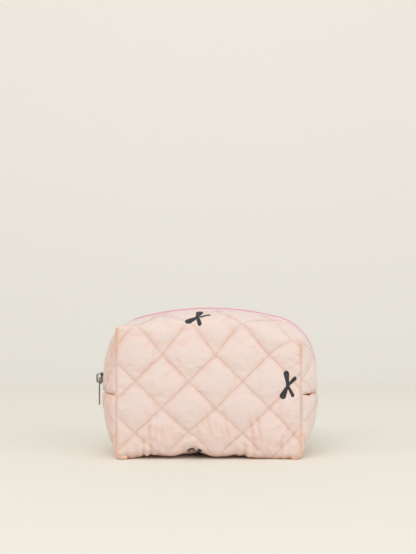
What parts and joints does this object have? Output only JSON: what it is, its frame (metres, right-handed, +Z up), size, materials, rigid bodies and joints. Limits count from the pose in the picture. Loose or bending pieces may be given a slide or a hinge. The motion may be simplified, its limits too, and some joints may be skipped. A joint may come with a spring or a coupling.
{
  "type": "makeup bag",
  "caption": "Quilted fabric makeup bag with boxed corners and a zip that runs over the top from end to end.",
  "frame": {"origin": "middle of the base's underside, on the surface that the bag stands on", "axes": "+Z up, +X to the right along the bag's width with the slider of the closed zip at -X, the front wall faces -Y"},
  "size_m": [0.2043, 0.094, 0.134],
  "materials": {
    "outer_fabric": "pale pink quilted polyester weave, matte with a faint sheen, printed with dark bows",
    "wadding": "off-white bonded polyester wadding",
    "lining": "plain pale pink woven lining",
    "binding": "pink bias tape over the inner seam allowances",
    "zip_tape": "pink woven zip tape",
    "zip_coil": "pink nylon coil, slightly glossy",
    "metal": "dark nickel plated zinc, polished"
  },
  "bodies": {
    "bag_body": {"back_left_lower_binding": "binding", "back_lower_lining": "lining", "back_lower_panel": "outer_fabric", "back_lower_wadding": "wadding", "back_right_lower_binding": "binding", "base_lining": "lining", "base_panel": "outer_fabric", "base_wadding": "wadding", "front_left_lower_binding": "binding", "front_lower_lining": "lining", "front_lower_panel": "outer_fabric", "front_lower_wadding": "wadding", "front_right_lower_binding": "binding", "left_end_binding": "binding", "left_end_lining": "lining", "left_end_panel": "outer_fabric", "left_end_wadding": "wadding", "right_end_binding": "binding", "right_end_lining": "lining", "right_end_panel": "outer_fabric", "right_end_wadding": "wadding"},
    "front_lip": {"front_gusset_lining": "lining", "front_gusset_panel": "outer_fabric", "front_gusset_wadding": "wadding", "front_left_upper_binding": "binding", "front_right_upper_binding": "binding", "front_upper_lining": "lining", "front_upper_panel": "outer_fabric", "front_upper_wadding": "wadding", "front_zip_coil": "zip_coil", "front_zip_tape": "zip_tape"},
    "back_lip": {"back_gusset_lining": "lining", "back_gusset_panel": "outer_fabric", "back_gusset_wadding": "wadding", "back_left_upper_binding": "binding", "back_right_upper_binding": "binding", "back_upper_lining": "lining", "back_upper_panel": "outer_fabric", "back_upper_wadding": "wadding", "back_zip_coil": "zip_coil", "back_zip_tape": "zip_tape"},
    "slider": {"slider_body": "metal", "slider_bridge": "metal", "slider_lock_spring": "metal"},
    "pull": {"zip_pull": "metal"}
  },
  "joints": [
    {"name": "front_lip_fold", "type": "hinge", "parent": "bag_body", "child": "front_lip", "pos_m": [0, -0.0472, 0.0575], "axis": [1, 0, 0], "range_deg": [0, 38]},
    {"name": "back_lip_fold", "type": "hinge", "parent": "bag_body", "child": "back_lip", "pos_m": [0, 0.0472, 0.0575], "axis": [-1, 0, 0], "range_deg": [0, 38]},
    {"name": "slider_travel", "type": "hinge", "parent": "bag_body", "child": "slider", "pos_m": [0, 0, 0.0685], "axis": [0, 1, 0], "range_deg": [0, 180]},
    {"name": "pull_swing", "type": "hinge", "parent": "slider", "child": "pull", "pos_m": [-0.1025, 0, 0.0685], "axis": [0, 1, 0], "range_deg": [0, 165]}
  ],
  "couplings": [
    {"joint": "back_lip_fold", "follows": "front_lip_fold", "ratio": 1},
    {"joint": "slider_travel", "follows": "front_lip_fold", "ratio": 4.7368}
  ]
}
